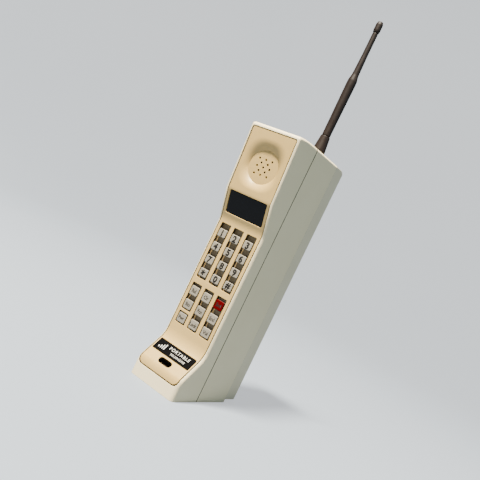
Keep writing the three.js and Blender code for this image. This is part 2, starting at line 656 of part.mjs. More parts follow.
// ---------- antenna ----------
function addAntenna() {
  const mast = new THREE.Group();
  mast.position.set(ANTENNA.x, ANTENNA.y, HEIGHT);
  phone.add(mast);
  const { studRadius, socketBore, socketRadius, flange } = ANTENNA;
  const { low, shoulder } = ANTENNA_SOCKET;
  const { studEnd, low: coneLow, cone } = ANTENNA_BASE;
  addPart('antenna_socket', turned([[socketBore, low], [flange, low], [flange, shoulder],
    [socketRadius, shoulder], [socketRadius, 0], [socketBore, 0], [socketBore, low]]), 'steel', mast);
  addPart('antenna_seal', ring(socketBore, ANTENNA_SEAL.outer, GAP, ANTENNA_SEAL.top), 'rubber', mast);
  const base = [[0, studEnd], [studRadius, studEnd], [studRadius, coneLow], ...cone];
  addPart('antenna_base', turned(base, ROUND_STEPS), 'antenna', mast);
  addPart('antenna_whip', turned(ANTENNA_WHIP, ROUND_STEPS), 'antenna', mast);
  addPart('antenna_tip', turned(ANTENNA_TIP, ROUND_STEPS), 'antenna', mast);
}

// ---------- assembly ----------
addPart('front_housing', makeFrontHousing(), 'housing');
addPart('rear_housing', makeRearHousing(), 'housing');
addPart('front_panel', makeFrontPanel(), 'panel');
addKeys();
addFacePieces();
addBoards();
[-1, 1].forEach((side, column) => SCREWS.z.forEach((z, row) => {
  addPart(`case_screw_${column * 2 + row + 1}`, makeScrew(), 'steel').position.set(side * SCREWS.x, 0, z);
}));
addPack();
addAntenna();

export default phone;
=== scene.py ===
"""The looks of a hand-held cellular telephone of the first generation, built around its CAD frame.

Lengths inside the script are millimetres in the CAD frame unless a name says otherwise.
"""

import json
import math

import bmesh  # noqa: E402
import bpy  # noqa: E402
from mathutils import Matrix, Vector  # noqa: E402
from mathutils.geometry import tessellate_polygon  # noqa: E402

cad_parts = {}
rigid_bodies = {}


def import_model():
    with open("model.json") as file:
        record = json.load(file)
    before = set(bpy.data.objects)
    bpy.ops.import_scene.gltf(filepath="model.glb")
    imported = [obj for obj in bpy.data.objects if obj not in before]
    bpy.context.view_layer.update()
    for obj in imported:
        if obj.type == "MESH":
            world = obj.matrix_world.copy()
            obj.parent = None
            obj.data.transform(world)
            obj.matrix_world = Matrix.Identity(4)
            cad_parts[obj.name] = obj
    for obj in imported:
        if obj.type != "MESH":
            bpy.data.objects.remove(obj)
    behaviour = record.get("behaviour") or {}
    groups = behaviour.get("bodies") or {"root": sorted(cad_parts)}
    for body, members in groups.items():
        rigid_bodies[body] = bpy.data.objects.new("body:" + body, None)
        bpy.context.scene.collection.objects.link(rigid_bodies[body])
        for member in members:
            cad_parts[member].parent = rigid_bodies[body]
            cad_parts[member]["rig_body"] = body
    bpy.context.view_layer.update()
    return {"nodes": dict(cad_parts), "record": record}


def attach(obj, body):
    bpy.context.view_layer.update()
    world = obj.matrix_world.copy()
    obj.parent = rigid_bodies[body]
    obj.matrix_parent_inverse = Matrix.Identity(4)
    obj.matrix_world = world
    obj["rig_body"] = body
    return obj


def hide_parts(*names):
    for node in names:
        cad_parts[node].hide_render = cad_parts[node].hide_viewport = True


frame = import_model()

MM = 0.001
HEIGHT = 209.0
KEYPAD_Y = -28.2
PANEL = {"half": 19.8, "low": 10.6, "high": 204.4, "low_corner": 4.5, "high_corner": 1.6}
SKIN = (0.3, 1.6)
WELL_DEPTH = 3.0
SEAM_Y = -13.2
PACK_Y = 26.35
BLOCK = {"half": 18.2, "low": 44.0, "high": 132.0, "back": 4.0}
# Widths, heights, corner radii and depths from front to back of the pieces and openings in the face.
LENS = {"size": (34.5, 17.35), "corner": 0.7, "depth": (0.6, 1.7)}
LENS_OPENING = {"size": (35.1, 17.95), "corner": 0.9}
NAMEPLATE = {"size": (37.2, 9.85), "corner": 0.5, "depth": (0.1, 0.5)}
NAMEPLATE_OPENING = {"size": (37.8, 10.45), "corner": 0.7}
NAMEPLATE_BACKING = {"size": (38.2, 10.85), "corner": 0.7, "depth": (0.85, 1.58)}
MOUTH_SLOT = {"size": (12.6, 5.0), "corner": 2.49}
# Places on the leaning front face: y, z and the lean in degrees.
CHIN = (-34.55, 27.4, -38.6)
DISPLAY = (-33.06, 146.09, 20.2)
EAR = (-38.71, 178.0, 5.7)
MOUTH = (-40.53, 19.9, -38.6)
DISH = {"rim": (17.6, 19.2), "squareness": 3, "shift": 1.2, "lip": 0.9, "floor_radius": 12.8, "floor": 3.3,
        "back": 4.7, "back_growth": 1.0, "hollow": 2.1, "levels": 18, "count": 72}
EAR_HOLES = {"rows": (3, 2, 3, 2, 3), "pitch": 2.92, "radius": 0.8, "count": 16}
PITCH_X = 12.59
WELL_HALF = 4.6
WELL_CORNER = 0.6
STEM_HOLE = {"size": (4, 4), "corner": 0.3}
KEY_CAP = {"corner": 0.95, "depth": (0.0, 1.7)}
KEY_STEM = {"size": (3.2, 3.2), "corner": 0.25, "depth": (1.6, 4.9)}
# The sides of a key cap behind this depth take painted shade.
KEY_SKIRT_DEPTH = 0.3
WELLS = [(-1, 84.2, 129.7), (0, 84.2, 129.7), (1, 84.2, 129.7), (-1, 57.9, 79.6), (-1, 46.7, 55.7),
         (0, 46.7, 79.6), (1, 46.7, 79.6)]
NUMBER_ROWS = (122.0, 111.0, 100.0, 89.0)
NUMBER_SIZE = (7.7, 6.4)
FUNCTION_ROWS = (73.6, 62.4, 51.2)
FUNCTION_SIZE = (7.8, 7.3)
NUMBER_KEYS = [("key_1", "1"), ("key_2", "2"), ("key_3", "3"), ("key_4", "4"), ("key_5", "5"), ("key_6", "6"),
               ("key_7", "7"), ("key_8", "8"), ("key_9", "9"), ("key_star", "*"), ("key_0", "0"),
               ("key_hash", "#")]
FUNCTION_KEYS = [("key_recall", "Rcl"), ("key_clear", "Clr"), ("key_send", "Snd"), ("key_store", "Sto"),
                 ("key_function", "Fcn"), ("key_end", "End"), ("key_power", "Pwr"), ("key_lock", "Lock"),
                 ("key_volume", "Vol")]
# Heights of letters and how much their strokes are thickened.
DIGIT_PRINT = {"size": 6.7, "weight": 0.32}
STAR_PRINT = {"size": 9.6, "weight": 0.24}
WORD_PRINT = {"size": 3.9, "weight": 0.13, "squeeze": 0.86}
# Print reaches this far to both sides of its middle, which lies 0.005 mm in front of a cap or the nameplate.
PRINT_THICKNESS = 0.03
KEY_PRINT_RAISED = 0.005
NAMEPLATE_PRINT_RAISED = -0.095
# The nameplate's print: text, letter height, middle across and up the plate, and letter spacing.
NAMEPLATE_LINES = [("PORTABLE", 3.7, 4.4, 1.6, 1.24), ("TELEPHONE", 2.4, 5.4, -2.2, 1.2)]
NAMEPLATE_BARS = {"heights": (1.6, 2.7, 3.8, 4.9), "left": -14.8, "pitch": 1.8, "foot": -2.4, "width": 0.7,
                  "corner": 0.12, "depth": (0.06, 0.12)}
# The antenna's axis, and its turned pieces as pairs of radius and height above the case.
ANTENNA_AXIS = (10.5, 8.3)
ANTENNA_PIECES = [
    ("antenna_base", 0.4, [(0, -5), (1.9, -5), (1.9, 2.2), (5.05, 2.2), (5.0, 4.0), (3.75, 15.4), (0, 15.4)]),
    ("antenna_whip", 0.6, [(0, 15.7), (3.35, 15.7), (3.4, 29), (3.55, 42), (3.7, 59), (3.65, 63), (2.7, 68),
                           (2.25, 84), (2.15, 103.8), (0, 103.8)]),
    ("antenna_tip", 0.5, [(0, 104.1), (2.4, 104.1), (2.75, 106), (2.75, 111), (2.0, 113.3), (0, 114)]),
]
ANTENNA_SEAL = [(2.2, 0.5), (2.4, 0.3), (5.0, 0.3), (5.22, 0.42), (5.3, 0.7), (5.3, 1.5), (5.22, 1.78),
                (5.0, 1.9), (2.4, 1.9), (2.2, 1.7)]
TURNED_COUNT = 48
TURNED_SHARP = 50.0
# The rounding of a carried-over node's edges.
EDGE_BEVEL = 0.12
EDGE_BEVELS = {"front_housing": 0.2, "rear_housing": 0.4, "battery_case": 0.35}


# ---------- materials ----------
def new_material(name):
    material = bpy.data.materials.new(name)
    material.use_nodes = True
    return material, material.node_tree.nodes, material.node_tree.links


def noise(nodes, links, scale, detail=3.0, roughness=0.55, stretch=None):
    """A noise texture over the piece's own coordinates; the scale is in cells per metre."""
    coordinates = nodes.new("ShaderNodeTexCoord")
    source = coordinates.outputs["Object"]
    if stretch:
        mapping = nodes.new("ShaderNodeMapping")
        mapping.inputs["Scale"].default_value = stretch
        links.new(source, mapping.inputs["Vector"])
        source = mapping.outputs["Vector"]
    texture = nodes.new("ShaderNodeTexNoise")
    texture.inputs["Scale"].default_value = scale
    texture.inputs["Detail"].default_value = detail
    texture.inputs["Roughness"].default_value = roughness
    links.new(source, texture.inputs["Vector"])
    return texture.outputs["Fac"]


def ranged(nodes, links, value, low, high, from_low=0.3, from_high=0.7):
    """A value between 0 and 1 spread over another range."""
    node = nodes.new("ShaderNodeMapRange")
    node.inputs["From Min"].default_value = from_low
    node.inputs["From Max"].default_value = from_high
    node.inputs["To Min"].default_value = low
    node.inputs["To Max"].default_value = high
    links.new(value, node.inputs["Value"])
    return node.outputs["Result"]


def mixed(nodes, links, factor, first, second):
    node = nodes.new("ShaderNodeMix")
    node.data_type = "RGBA"
    links.new(factor, node.inputs["Factor"])
    for name, colour in (("A", first), ("B", second)):
        socket = [s for s in node.inputs if s.name == name and s.type == "RGBA"][0]
        if isinstance(colour, bpy.types.NodeSocket):
            links.new(colour, socket)
        else:
            socket.default_value = (*colour, 1.0)
    return [s for s in node.outputs if s.type == "RGBA"][0]


def surface(name, colour, roughness, tone=0.06, spread=0.06, grain=0.0, grain_scale=2200.0, metallic=0.0,
            specks=0.0, stretch=None, specular=0.5):
    """A moulded, painted or metal surface: cloudy tone, uneven gloss, fine grain and a few specks."""
    material, nodes, links = new_material(name)
    shader = nodes["Principled BSDF"]
    darker = tuple(c * (1 - tone * weight) for c, weight in zip(colour, (0.8, 1.0, 1.5)))
    cloud = ranged(nodes, links, noise(nodes, links, 28.0, 4.0), 0.0, 1.0)
    tint = mixed(nodes, links, cloud, colour, darker)
    if specks:
        dots = ranged(nodes, links, noise(nodes, links, 620.0, 2.0), 0.0, specks, 0.66, 0.78)
        tint = mixed(nodes, links, dots, tint, tuple(c * 0.45 for c in colour))
    links.new(tint, shader.inputs["Base Color"])
    gloss = noise(nodes, links, 160.0, 4.0, stretch=stretch)
    links.new(ranged(nodes, links, gloss, roughness - spread, roughness + spread), shader.inputs["Roughness"])
    shader.inputs["Metallic"].default_value = metallic
    shader.inputs["Specular IOR Level"].default_value = specular
    if grain:
        bump = nodes.new("ShaderNodeBump")
        bump.inputs["Strength"].default_value = 1.0
        bump.inputs["Distance"].default_value = grain * MM
        links.new(noise(nodes, links, grain_scale, 2.0, stretch=stretch), bump.inputs["Height"])
        links.new(bump.outputs["Normal"], shader.inputs["Normal"])
    return material


def circuit_material():
    """Solder mask with paler copper tracks under it."""
    material, nodes, links = new_material("circuit_board_green")
    shader = nodes["Principled BSDF"]
    coordinates = nodes.new("ShaderNodeTexCoord")
    brick = nodes.new("ShaderNodeTexBrick")
    brick.inputs["Scale"].default_value = 180.0
    brick.inputs["Mortar Size"].default_value = 0.05
    brick.inputs["Color1"].default_value = (0.008, 0.06, 0.022, 1)
    brick.inputs["Color2"].default_value = (0.012, 0.085, 0.03, 1)
    brick.inputs["Mortar"].default_value = (0.05, 0.2, 0.07, 1)
    turn = nodes.new("ShaderNodeMapping")
    turn.inputs["Rotation"].default_value = (math.pi / 2, 0, 0)
    links.new(coordinates.outputs["Object"], turn.inputs["Vector"])
    links.new(turn.outputs["Vector"], brick.inputs["Vector"])
    links.new(brick.outputs["Color"], shader.inputs["Base Color"])
    gloss = ranged(nodes, links, noise(nodes, links, 300.0), 0.28, 0.42)
    links.new(gloss, shader.inputs["Roughness"])
    shader.inputs["Coat Weight"].default_value = 0.4
    return material


def cell_material():
    """A shrink sleeve with two coloured bands."""
    material, nodes, links = new_material("cell_sleeve_banded")
    shader = nodes["Principled BSDF"]
    coordinates = nodes.new("ShaderNodeTexCoord")
    split = nodes.new("ShaderNodeSeparateXYZ")
    links.new(coordinates.outputs["Generated"], split.inputs["Vector"])
    ramp = nodes.new("ShaderNodeValToRGB")
    ramp.color_ramp.interpolation = "CONSTANT"
    ramp.color_ramp.elements[0].color = (0.02, 0.12, 0.06, 1)
    ramp.color_ramp.elements[1].position = 0.68
    ramp.color_ramp.elements[1].color = (0.6, 0.62, 0.58, 1)
    tip = ramp.color_ramp.elements.new(0.94)
    tip.color = (0.5, 0.48, 0.42, 1)
    links.new(split.outputs["Z"], ramp.inputs["Fac"])
    cloud = ranged(nodes, links, noise(nodes, links, 90.0), 0.0, 0.25)
    links.new(mixed(nodes, links, cloud, ramp.outputs["Color"], (0.05, 0.06, 0.05)),
              shader.inputs["Base Color"])
    links.new(ranged(nodes, links, noise(nodes, links, 200.0), 0.22, 0.4), shader.inputs["Roughness"])
    return material


MATERIALS = {
    "housing_cream": surface("cream_moulding", (0.74, 0.63, 0.41), 0.46, tone=0.05, grain=0.02,
                             specks=0.10),
    "panel_beige": surface("beige_moulding", (0.43, 0.29, 0.10), 0.42, tone=0.06, spread=0.05, grain=0.008,
                           grain_scale=1500.0, specks=0.06),
    "key_grey": surface("key_grey", (0.20, 0.18, 0.145), 0.44, tone=0.08, grain=0.006, specks=0.08),
    "key_red": surface("key_red", (0.07, 0.0003, 0.0006), 0.6, tone=0.15, grain=0.006, specks=0.08,
                       specular=0.03),
    "display_window": surface("dark_window", (0.0025, 0.0026, 0.004), 0.12, tone=0.1, spread=0.03,
                              specular=0.12),
    "display_red": surface("digit_block", (0.0612, 0.008, 0.008), 0.4, tone=0.2),
    "nameplate_black": surface("printed_plate", (0.003, 0.0028, 0.003), 0.16, tone=0.12, spread=0.03,
                               specular=0.2),
    "rubber_black": surface("black_rubber", (0.0194, 0.0176, 0.0168), 0.78, tone=0.15,
                            spread=0.08, grain=0.02),
    "circuit_board": circuit_material(),
    "tinned_can": surface("tinned_sheet", (0.62, 0.62, 0.6), 0.34, tone=0.12, spread=0.1, metallic=1.0,
                          grain=0.006, grain_scale=900.0, stretch=(1, 1, 0.15)),
    "silvered_ceramic": surface("silvered_ceramic", (0.55, 0.46, 0.3), 0.38, tone=0.2, spread=0.1, metallic=0.7,
                                grain=0.01),
    "capsule_metal": surface("capsule_shell", (0.2, 0.21, 0.22), 0.42, tone=0.15, spread=0.1, metallic=0.8,
                             grain=0.01),
    "cell_sleeve": cell_material(),
    "gold_contact": surface("gold_contact", (0.75, 0.52, 0.2), 0.3, tone=0.2, spread=0.1, metallic=1.0,
                            grain=0.004, stretch=(1, 1, 0.1)),
    "zinc_steel": surface("zinc_steel", (0.5, 0.51, 0.53), 0.36, tone=0.15, spread=0.1, metallic=1.0,
                          grain=0.006, stretch=(1, 1, 0.2)),
    "antenna_rubber": surface("antenna_sheath", (0.0085, 0.0045, 0.0034), 0.55, tone=0.18, spread=0.08,
                              grain=0.02, grain_scale=1500.0, specks=0.2, specular=0.2),
}
DARK_INK = surface("dark_ink", (0.006, 0.005, 0.005), 0.6, tone=0.2, specular=0.2)
GREY_INK = surface("grey_ink", (0.016, 0.013, 0.011), 0.6, tone=0.2, specular=0.2)
# The pack's cream, a little darker and greyer than the housing's: painted shade over the whole pack.
SHADED_PACK_CREAM = surface("pack_moulding_with_painted_shade", (0.66, 0.57, 0.40), 0.48, tone=0.06, grain=0.02, specks=0.10)
# Dark brown on the walls of the key wells: painted shade.
WELL_SHADE = surface("well_wall_painted_shade", (0.07, 0.045, 0.022), 0.6, tone=0.12, spread=0.05, grain=0.008)
# Darker beige on the floors of the key wells: painted shade.
WELL_FLOOR_PAINTED_SHADE = surface("well_floor_painted_shade", (0.19, 0.13, 0.06), 0.5, tone=0.15, spread=0.05, grain=0.01)
# Near black on the sides of the key caps: painted shade.
KEY_SKIRT_PAINTED_SHADE = surface("key_skirt_painted_shade", (0.025, 0.02, 0.016), 0.7, tone=0.15)
# Dark brown in the groove round the panel and on the panel's outer edge: painted shade.
PANEL_GROOVE_PAINTED_SHADE = surface("panel_groove_painted_shade", (0.075, 0.05, 0.028), 0.8, tone=0.2, specular=0.1)
# Near black in the seams, along the pack's boundary, in the mouth slot and ear holes and on the microphone:
# painted shade.
GROOVE_SHADE = surface("groove_shade", (0.012, 0.008, 0.006), 0.8, tone=0.2, specular=0.1)
SHIELD_COATING = surface("shield_coating", (0.022, 0.021, 0.02), 0.55, tone=0.2, spread=0.1, metallic=0.3,
                         grain=0.02)
PALE_INK = surface("pale_ink", (0.5, 0.49, 0.47), 0.5, tone=0.04)
# The extra materials of the painted shells and panel, all painted shade but the shield coating; a paint rule's
# answers 1 to 4 mean these in order.
SHELL_PAINTS = [GROOVE_SHADE, SHIELD_COATING, PANEL_GROOVE_PAINTED_SHADE, SHADED_PACK_CREAM]
PANEL_PAINTS = [WELL_SHADE, GROOVE_SHADE, WELL_FLOOR_PAINTED_SHADE, PANEL_GROOVE_PAINTED_SHADE]


# ---------- putting pieces in place ----------
def add_piece(name, mesh, material, body, nodes=(), angle=38.0):
    """One visible piece on a body, standing for CAD nodes where it replaces them."""
    mesh.materials.clear()
    mesh.materials.append(material)
    mesh.shade_smooth()
    mesh.set_sharp_from_angle(angle=math.radians(angle))
    piece = bpy.data.objects.new(name, mesh)
    bpy.context.scene.collection.objects.link(piece)
    modifier = piece.modifiers.new("even_faces", "WEIGHTED_NORMAL")
    modifier.weight = 80
    modifier.keep_sharp = True
    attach(piece, body)
    if nodes:
        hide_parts(*nodes)


class Shape:
    """Points and faces in millimetres, gathered before they become one mesh."""

    def __init__(self):
        self.points = []
        self.faces = []

    def add(self, points, faces):
        start = len(self.points)
        self.points.extend(points)
        self.faces.extend([start + i for i in face] for face in faces)
        return self

    def placed(self, place):
        self.points = [place(*point) for point in self.points]
        return self

    def join(self, other):
        return self.add(other.points, other.faces)

    def mesh(self, name):
        made = bpy.data.meshes.new(name)
        made.from_pydata([[c * MM for c in point] for point in self.points], [], self.faces)
        work = bmesh.new()
        work.from_mesh(made)
        bmesh.ops.remove_doubles(work, verts=work.verts, dist=1e-6)
        bmesh.ops.dissolve_degenerate(work, edges=work.edges, dist=1e-7)
        bmesh.ops.recalc_face_normals(work, faces=work.faces)
        work.to_mesh(made)
        work.free()
        return made


def depth_below(y, z):
    """How far a point in side view is from the front face and the top of the case."""
    point = Vector((y, z, 0))
    outline = [*LINE, (-39.4, 207.6), (-31.0, 208.8), (-21.5, HEIGHT), (-13.0, HEIGHT)]
    best = 1e9
    for start, end in zip(outline, outline[1:]):
        a, b = Vector((*start, 0)), Vector((*end, 0))
        share = max(0.0, min(1.0, (point - a).dot(b - a) / (b - a).length_squared))
        best = min(best, (a.lerp(b, share) - point).length)
    return best


def front_housing_paint(x, y, z):
    """Painted shade as 1 at the seam and 3 in the groove around the panel; 2 on the coated inside, 0 elsewhere.
    """
    depth = depth_below(y, z)
    if abs(y - SEAM_Y) < 0.42:
        return 1
    if abs(x) < 20.7 and 0.55 < depth < 2.6 and y < -25 and z < 203.2:
        return 3
    if abs(x) < 20.4 and depth > 2.1 and 2.3 < z < 206.7:
        return 2
    return 0


def rear_housing_paint(x, y, z):
    """Painted shade as 1 at the seam and along the pack's boundary; 2 on the coated inside, 0 elsewhere."""
    if abs(y - SEAM_Y) < 0.5:
        return 1
    if abs(y - PACK_Y) < 0.5 and (abs(x) > 21.2 or z > 208 or z < 2.6):
        return 1
    if abs(x) < 20.5 and y < 24.4 and 2.3 < z < 206.7:
        return 2
    return 0


def battery_case_paint(x, y, z):
    """Painted shade as 1 on the front edge, and as 4 elsewhere, where the pack's cream is darkened all over."""
    return 1 if y < PACK_Y + 0.37 and (abs(x) > 21.0 or z > 208 or z < 2.8) else 4


def front_panel_paint(x, y, z):
    """Painted shade: 1 on the wells' walls, 3 on their floors, 2 in the mouth slot and ear holes, 4 on the
    outer edge.
    """
    if 44 < z < 132 and abs(x) < 18.0 and KEYPAD_Y + 0.7 < y < KEYPAD_Y + 3.2:
        return 3 if y > KEYPAD_Y + WELL_DEPTH - 0.02 else 1
    depth = depth_below(y, z)
    if depth > 0.62 and (abs(x) > 19.7 or z < 12.5):
        return 4
    if abs(x) < 6.6 and z < 23 and depth > 0.62:
        return 2
    if math.hypot(x, z - EAR[1]) < 12.3 and depth > 3.4:
        return 2
    return 0


def paint_faces(mesh, chosen, materials):
    """Give every face the material that a rule picks from the place of its middle, in millimetres."""
    for material in materials:
        mesh.materials.append(material)
    for face in mesh.polygons:
        face.material_index = chosen(*(c / MM for c in face.center))


def refined(node, slot, bevel):
    """A CAD node again, with its flat faces made whole and its sharp edges rounded."""
    source = frame["nodes"][node]
    work = bmesh.new()
    work.from_mesh(source.data)
    bmesh.ops.remove_doubles(work, verts=work.verts, dist=2e-6)
    bmesh.ops.dissolve_limit(work, angle_limit=math.radians(0.5), verts=work.verts, edges=work.edges)
    mesh = bpy.data.meshes.new(node + "_rounded")
    work.to_mesh(mesh)
    work.free()
    holder = bpy.data.objects.new(node + "_holder", mesh)
    bpy.context.scene.collection.objects.link(holder)
    modifier = holder.modifiers.new("edges", "BEVEL")
    modifier.width = bevel * MM
    modifier.segments = 2
    modifier.limit_method = "ANGLE"
    modifier.angle_limit = math.radians(38.0)
    modifier.use_clamp_overlap = False
    bpy.context.view_layer.update()
    evaluated = holder.evaluated_get(bpy.context.evaluated_depsgraph_get())
    final = bpy.data.meshes.new_from_object(evaluated)
    bpy.data.objects.remove(holder)
    add_piece(node + "_finish", final, MATERIALS[slot], source["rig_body"], [node])
    if node in PAINTS:
        paint_faces(final, PAINTS[node], SHELL_PAINTS)


# ---------- outlines ----------
def rounded_loop(x, y, width, height, radius, high_radius=None, steps=6):
    """A rounded rectangle as a function of how far it grows."""
    radii = [radius, high_radius or radius, high_radius or radius, radius]
    corners = [(1, -1, -90), (1, 1, 0), (-1, 1, 90), (-1, -1, 180)]

    def at(grow):
        points = []
        for (side, up, start), corner in zip(corners, radii):
            bend = max(corner + grow, 0.02)
            for step in range(steps + 1):
                angle = math.radians(start + 90 * step / steps)
                points.append((x + side * (width / 2 + grow - bend) + bend * math.cos(angle),
                               y + up * (height / 2 + grow - bend) + bend * math.sin(angle)))
        return points
    return at


def circle_loop(x, y, radius, count):
    def at(grow):
        turn = [2 * math.pi * i / count for i in range(count)]
        return [(x + (radius + grow) * math.cos(a), y + (radius + grow) * math.sin(a)) for a in turn]
    return at


def oval_loop(half_x, half_y, squareness, shift, count):
    def at(grow):
        points = []
        for i in range(count):
            angle = 2 * math.pi * i / count
            power = 2 / squareness
            cosine, sine = math.cos(angle), math.sin(angle)
            points.append((math.copysign(abs(cosine) ** power, cosine) * (half_x + grow),
                           shift + math.copysign(abs(sine) ** power, sine) * (half_y + grow)))
        return points
    return at


def plate(outer, holes, front, back, bevel=0.25, back_bevel=0.12, steps=3, bare=()):
    """A plate with holes, in (x, y, depth), whose edges are rounded in front and eased behind.
    A bare hole gets no wall, because another skin joins it at both faces."""
    section = []
    for step in range(steps + 1):
        angle = math.pi / 2 * step / steps
        section.append((-bevel * (1 - math.sin(angle)), front + bevel * (1 - math.cos(angle))))
    section += [(0.0, back - back_bevel), (-back_bevel, back)]
    shape = Shape()
    ends = {0: [], len(section) - 1: []}
    for place, loop in enumerate([outer, *holes, *bare]):
        sign = -1 if place else 1
        open_hole = place > len(holes)
        rings = []
        for level, (grow, depth) in enumerate(section):
            points = loop(0.0 if open_hole else grow * sign)
            rings.append(len(shape.points))
            shape.points.extend((x, y, depth) for x, y in points)
            if level in ends:
                ends[level].append((rings[-1], points))
        count = len(points)
        for low, high in zip(rings, rings[1:]) if not open_hole else ():
            for i in range(count):
                j = (i + 1) % count
                shape.faces.append([low + i, low + j, high + j, high + i])
    for loops in ends.values():
        index = [start + i for start, points in loops for i in range(len(points))]
        filled = tessellate_polygon([[Vector((x, y, 0)) for x, y in points] for _, points in loops])
        shape.faces.extend([index[i] for i in triangle] for triangle in filled)
    return shape


def rings_shape(rings, closed=False, caps=True):
    """A skin through rings of equal count; capped at both ends unless it closes on itself or stays open."""
    shape = Shape()
    count = len(rings[0])
    for ring in rings:
        shape.points.extend(ring)
    last = len(rings) if closed else len(rings) - 1
    for level in range(last):
        low, high = level * count, ((level + 1) % len(rings)) * count
        for i in range(count):
            j = (i + 1) % count
            shape.faces.append([low + i, low + j, high + j, high + i])
    if caps and not closed:
        shape.faces.append(list(range(count))[::-1])
        shape.faces.append([(len(rings) - 1) * count + i for i in range(count)])
    return shape


def turned_rings(profile, count=TURNED_COUNT):
    """Rings about the Z axis from (radius, height) pairs."""
    turn = [2 * math.pi * i / count for i in range(count)]
    return [[(radius * math.cos(a), radius * math.sin(a), height) for a in turn] for radius, height in profile]


def eased(profile, radius, steps=3):
    """A turned piece's profile with every corner between its ends rounded off."""
    made = [profile[0]]
    for before, corner, after in zip(profile, profile[1:], profile[2:]):
        a, b, c = Vector(before), Vector(corner), Vector(after)
        cut = min(radius, (b - a).length * 0.45, (c - b).length * 0.45)
        start, end = b + (a - b).normalized() * cut, b + (c - b).normalized() * cut
        for step in range(steps + 1):
            t = step / steps
            point = start * (1 - t) ** 2 + b * 2 * t * (1 - t) + end * t ** 2
            made.append((point.x, point.y))
    return [*made, profile[-1]]


# ---------- the front face in side view ----------
def curve(start, control, end, steps=10):
    points = []
    for step in range(1, steps + 1):
        t = step / steps
        points.append(tuple(a * (1 - t) ** 2 + b * 2 * t * (1 - t) + c * t ** 2
                            for a, b, c in zip(start, control, end)))
    return points


def face_line():
    """The front face from the base to the top of the case, as (y, z)."""
    line = [(-44.5, 0.0), (-44.5, 10.0)]
    line += curve((-44.5, 10.0), (-44.5, 14.9), (-42.6, 17.3))
    line += [(-31.2, 31.6)]
    line += curve((-31.2, 31.6), (KEYPAD_Y, 35.4), (KEYPAD_Y, 41.5))
    line += [(KEYPAD_Y, 130.2)]
    line += curve((KEYPAD_Y, 130.2), (KEYPAD_Y, 132.9), (-29.13, 135.43))
    line += [(-35.93, 153.89)]
    line += curve((-35.93, 153.89), (-36.45, 155.3), (-36.60, 156.8), 6)
    line += [(-41.4, 205.0)]
    return line


LINE = face_line()
ALONG = [0.0]
for before, after in zip(LINE, LINE[1:]):
    ALONG.append(ALONG[-1] + math.dist(before, after))


def place_of(z):
    """How far along the front face a height is."""
    for (first, second), start, end in zip(zip(LINE, LINE[1:]), ALONG, ALONG[1:]):
        if first[1] <= z <= second[1]:
            share = (z - first[1]) / (second[1] - first[1])
            return start + share * (end - start)
    raise ValueError(z)


def vertex_direction(index):
    """The face's direction at a point of its line: that of the longer run beside it where one is over 5 mm."""
    low, high = max(index - 1, 0), min(index + 1, len(LINE) - 1)
    into = Vector(LINE[index]) - Vector(LINE[low])
    out = Vector(LINE[high]) - Vector(LINE[index])
    if into.length > 5 or out.length > 5:
        return max((into, out), key=lambda v: v.length).normalized()
    return (into.normalized() + out.normalized()).normalized()


DIRECTIONS = [vertex_direction(i) for i in range(len(LINE))]


def on_line(x, along, depth):
    """(x, distance along the front face, depth below it) as a point."""
    index = max(i for i, start in enumerate(ALONG[:-1]) if start <= max(along, 0.0))
    share = (along - ALONG[index]) / (ALONG[index + 1] - ALONG[index])
    base = Vector(LINE[index]).lerp(Vector(LINE[index + 1]), share)
    direction = DIRECTIONS[index].lerp(DIRECTIONS[index + 1], share).normalized()
    return (x, base.x + direction.y * depth, base.y - direction.x * depth)


def on_face(place):
    """A map from (x, up the face, depth below it) to a point at a place on the leaning face."""
    y, z, lean = place
    sine, cosine = math.sin(math.radians(lean)), math.cos(math.radians(lean))
    return lambda u, v, depth: (u, y - v * sine + depth * cosine, z + v * cosine + depth * sine)


def face_matrix(place, x=0.0, up=0.0, raised=0.0):
    """Where something drawn in X and Y stands on the leaning face."""
    centre = on_face(place)(x, up, -raised)
    return Matrix.Translation(Vector(centre) * MM) @ Matrix.Rotation(math.radians(90 + place[2]), 4, "X")


# ---------- front panel ----------
def bent(shape, levels):
    """A flat plate in (x, along, depth), cut at the bends and laid on the front face."""
    mesh = bpy.data.meshes.new("flat")
    mesh.from_pydata(shape.points, [], shape.faces)
    work = bmesh.new()
    work.from_mesh(mesh)
    bmesh.ops.remove_doubles(work, verts=work.verts, dist=1e-4)
    for level in levels:
        parts = work.verts[:] + work.edges[:] + work.faces[:]
        bmesh.ops.bisect_plane(work, geom=parts, dist=1e-5, plane_co=(0, level, 0), plane_no=(0, 1, 0))
    made = Shape()
    work.verts.ensure_lookup_table()
    work.verts.index_update()
    made.add([on_line(*v.co) for v in work.verts], [[v.index for v in f.verts] for f in work.faces])
    work.free()
    bpy.data.meshes.remove(mesh)
    return made


def key_places():
    for keys, rows, size in ((NUMBER_KEYS, NUMBER_ROWS, NUMBER_SIZE),
                             (FUNCTION_KEYS, FUNCTION_ROWS, FUNCTION_SIZE)):
        for place, (node, label) in enumerate(keys):
            yield node, label, (place % 3 - 1) * PITCH_X, rows[place // 3], size


RIM = oval_loop(*DISH["rim"], DISH["squareness"], DISH["shift"], DISH["count"])
EAR_FLOOR = circle_loop(0, 0, DISH["floor_radius"], DISH["count"])


